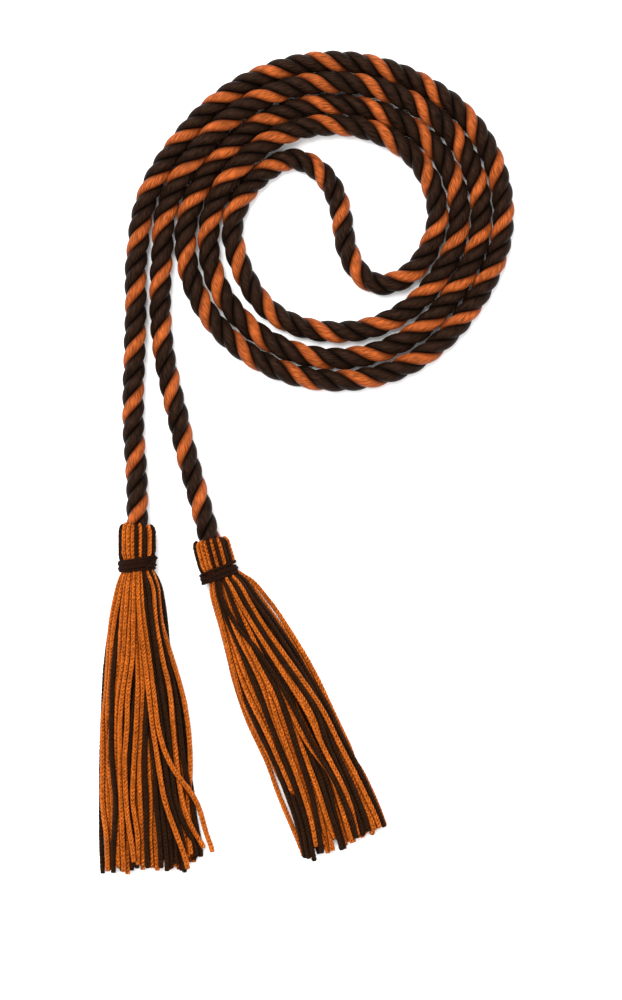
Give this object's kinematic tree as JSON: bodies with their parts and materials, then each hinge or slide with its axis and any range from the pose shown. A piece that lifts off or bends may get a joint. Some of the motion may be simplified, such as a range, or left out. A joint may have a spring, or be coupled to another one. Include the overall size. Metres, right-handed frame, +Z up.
{
  "type": "honor cord",
  "caption": "Twisted honor cord of dark brown and orange plies with a bound tassel at each end, laid flat in a double spiral with both ends leading down.",
  "frame": {"origin": "centre of the laid-out cord's outline, on the surface it lies on", "axes": "+Z up from the surface, +Y from the tassels to the coil, +X to the right as seen from above"},
  "size_m": [0.152, 0.2996, 0.012],
  "materials": {
    "orange_ply": "satin twisted filament yarn",
    "brown_ply": "satin twisted filament yarn",
    "tassel_yarn": "chainette strands, orange mixed with dark brown",
    "binding_thread": "wound dark brown thread"
  },
  "bodies": {
    "root": {"ply_orange": "orange_ply", "ply_brown_1": "brown_ply", "ply_brown_2": "brown_ply", "tassel_1": "tassel_yarn", "tassel_2": "tassel_yarn", "binding_1": "binding_thread", "binding_2": "binding_thread"}
  },
  "joints": []
}
